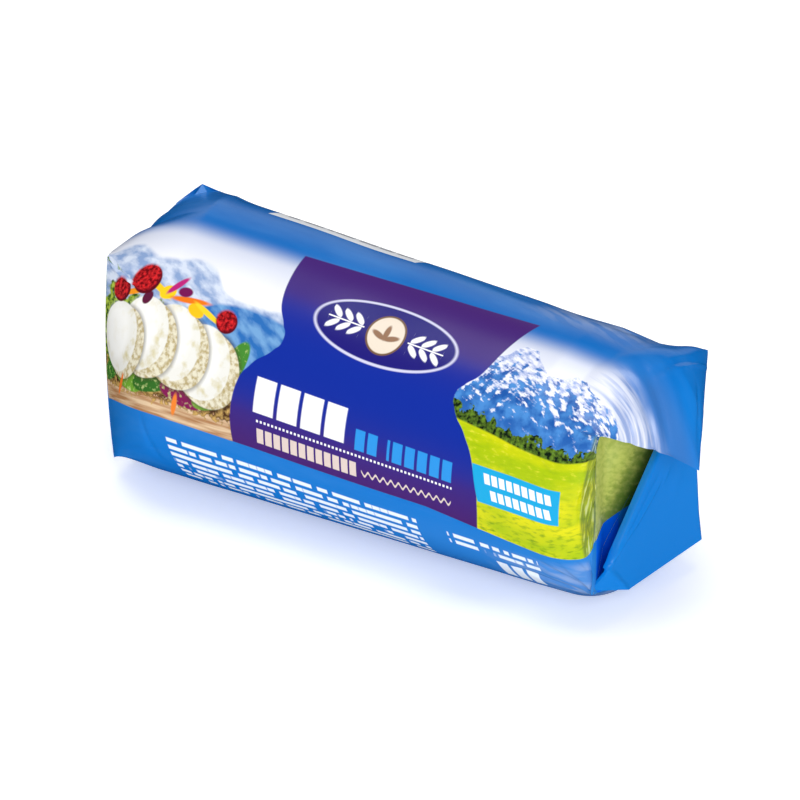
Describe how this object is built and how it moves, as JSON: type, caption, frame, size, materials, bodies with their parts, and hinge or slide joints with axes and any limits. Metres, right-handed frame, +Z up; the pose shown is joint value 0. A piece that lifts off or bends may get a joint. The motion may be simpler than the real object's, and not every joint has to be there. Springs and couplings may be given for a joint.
{
  "type": "wrapped cheese log",
  "caption": "Log of soft cheese shut in glossy printed film, with both ends folded over like a wrapped present.",
  "frame": {"origin": "centre of the pack's footprint, on the surface that it lies on", "axes": "+X along the log, towards the end whose folds the picture shows; +Y to the back; +Z up"},
  "size_m": [0.1128, 0.045, 0.0449],
  "materials": {
    "printed_film": "glossy printed wrapping film, bright blue ground with printed fields of colour, lightly creased at the folds"
  },
  "bodies": {
    "root": {"cheese_log_pack": "printed_film"}
  },
  "joints": []
}
